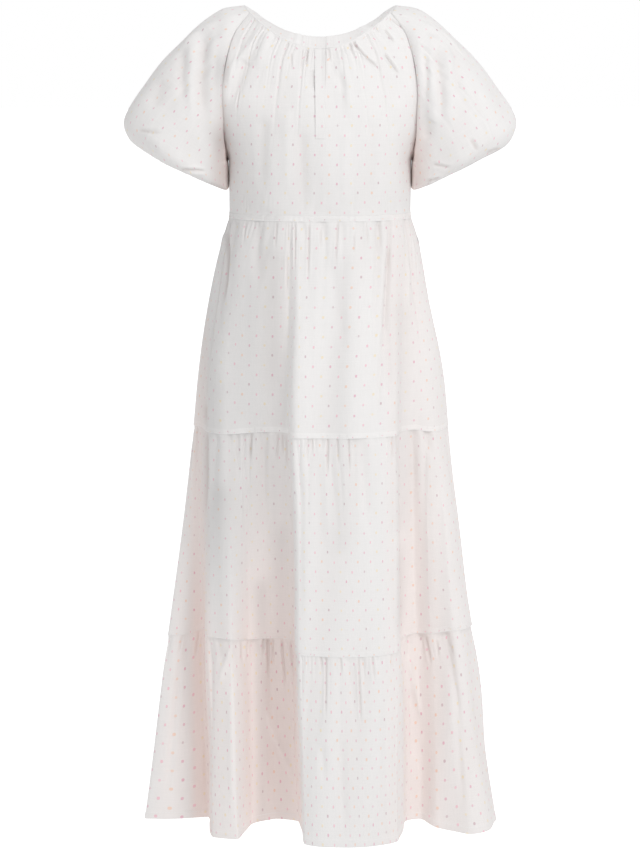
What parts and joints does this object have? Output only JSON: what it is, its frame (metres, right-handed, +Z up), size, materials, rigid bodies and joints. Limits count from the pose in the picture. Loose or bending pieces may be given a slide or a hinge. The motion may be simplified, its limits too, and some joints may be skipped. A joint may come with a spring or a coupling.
{
  "type": "maxi dress",
  "caption": "Hollow worn maxi dress with gathered neck casing, raglan puff sleeves, lapped placket and tiered gathered skirt.",
  "frame": {"origin": "middle of the neck opening, level with the tops of the shoulders, where the wearer carries the dress", "axes": "+Z up, front faces -Y, +X to the right as seen from the front"},
  "size_m": [0.629, 0.3185, 1.335],
  "materials": {
    "voile": "soft matt cotton voile with small woven dots",
    "casing": "soft matt cotton, doubled"
  },
  "bodies": {
    "root": {"front_bodice": "voile", "back_bodice": "voile", "sleeve_left": "voile", "sleeve_right": "voile", "tier_1_front": "voile", "tier_1_back": "voile", "tier_2_front": "voile", "tier_2_back": "voile", "tier_3_front": "voile", "tier_3_back": "voile", "neck_band": "casing", "placket": "casing", "cuff_left": "casing", "cuff_right": "casing"}
  },
  "joints": []
}
